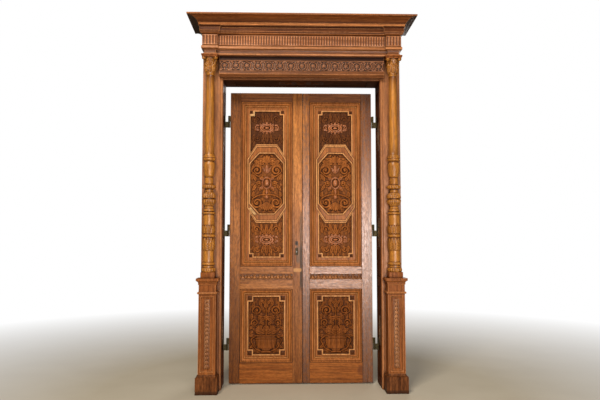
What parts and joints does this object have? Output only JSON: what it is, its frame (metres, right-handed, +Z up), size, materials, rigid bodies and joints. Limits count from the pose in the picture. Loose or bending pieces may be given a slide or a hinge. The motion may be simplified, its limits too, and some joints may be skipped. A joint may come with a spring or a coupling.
{
  "type": "carved double doorway",
  "caption": "Carved oak doorway: a pair of panelled leaves hinged in a deep frame with columns on pedestals, a carved band, a fluted frieze and a cove cornice.",
  "frame": {"origin": "on the floor, at the centre of the doorway's width and depth", "axes": "+Z up, +X to the viewer's right, -Y towards the viewer on the carved side, +Y towards the wall"},
  "size_m": [1.828, 0.464, 2.98],
  "materials": {
    "oak": "waxed, mid reddish brown",
    "golden_oak": "waxed, golden brown",
    "dark_oak": "waxed, dark brown",
    "aged_brass": "dull, slightly green",
    "lock_steel": "dull grey"
  },
  "bodies": {
    "frame": {"architrave": "oak", "cornice": "oak", "frieze": "oak", "frieze_ledge": "oak", "left_capital": "golden_oak", "left_column": "golden_oak", "left_frieze_block": "oak", "left_hinge_flaps": "aged_brass", "left_husk_drop": "oak", "left_jamb": "oak", "left_pedestal": "oak", "left_pedestal_cap": "oak", "left_plinth": "oak", "left_reveal_frame": "dark_oak", "left_reveal_panels": "dark_oak", "left_side_board": "oak", "right_capital": "golden_oak", "right_column": "golden_oak", "right_frieze_block": "oak", "right_hinge_flaps": "aged_brass", "right_husk_drop": "oak", "right_jamb": "oak", "right_pedestal": "oak", "right_pedestal_cap": "oak", "right_plinth": "oak", "right_reveal_frame": "dark_oak", "right_reveal_panels": "dark_oak", "right_side_board": "oak", "scroll_band": "oak", "soffit_frame": "dark_oak", "soffit_panel": "dark_oak"},
    "left_leaf": {"lock_case": "lock_steel", "escutcheon": "lock_steel", "left_bottom_rail": "oak", "left_hinge_stile": "oak", "left_hinge_straps": "aged_brass", "left_lock_rail": "oak", "left_lower_moulding": "oak", "left_lower_panel": "oak", "left_meeting_stile": "oak", "left_octagon_frame": "oak", "left_rail_strip": "oak", "left_top_rail": "oak", "left_upper_moulding": "oak", "left_upper_panel": "oak"},
    "right_leaf": {"strike_plate": "lock_steel", "right_bottom_rail": "oak", "right_hinge_stile": "oak", "right_hinge_straps": "aged_brass", "right_lock_rail": "oak", "right_lower_moulding": "oak", "right_lower_panel": "oak", "right_meeting_stile": "oak", "right_octagon_frame": "oak", "right_rail_strip": "oak", "right_top_rail": "oak", "right_upper_moulding": "oak", "right_upper_panel": "oak"},
    "latch": {"latch_bolt": "lock_steel"},
    "dead_bolt": {"dead_bolt": "lock_steel"}
  },
  "joints": [
    {"name": "left_leaf_hinge", "type": "hinge", "parent": "frame", "child": "left_leaf", "pos_m": [-0.6105, 0.176, 0], "axis": [0, 0, -1], "range_deg": [0, 90]},
    {"name": "right_leaf_hinge", "type": "hinge", "parent": "frame", "child": "right_leaf", "pos_m": [0.6105, 0.176, 0], "axis": [0, 0, 1], "range_deg": [0, 90]},
    {"name": "latch_slide", "type": "slide", "parent": "left_leaf", "child": "latch", "axis": [1, 0, 0], "range_m": [0, 0.012]},
    {"name": "dead_bolt_slide", "type": "slide", "parent": "left_leaf", "child": "dead_bolt", "axis": [1, 0, 0], "range_m": [0, 0.014]}
  ]
}
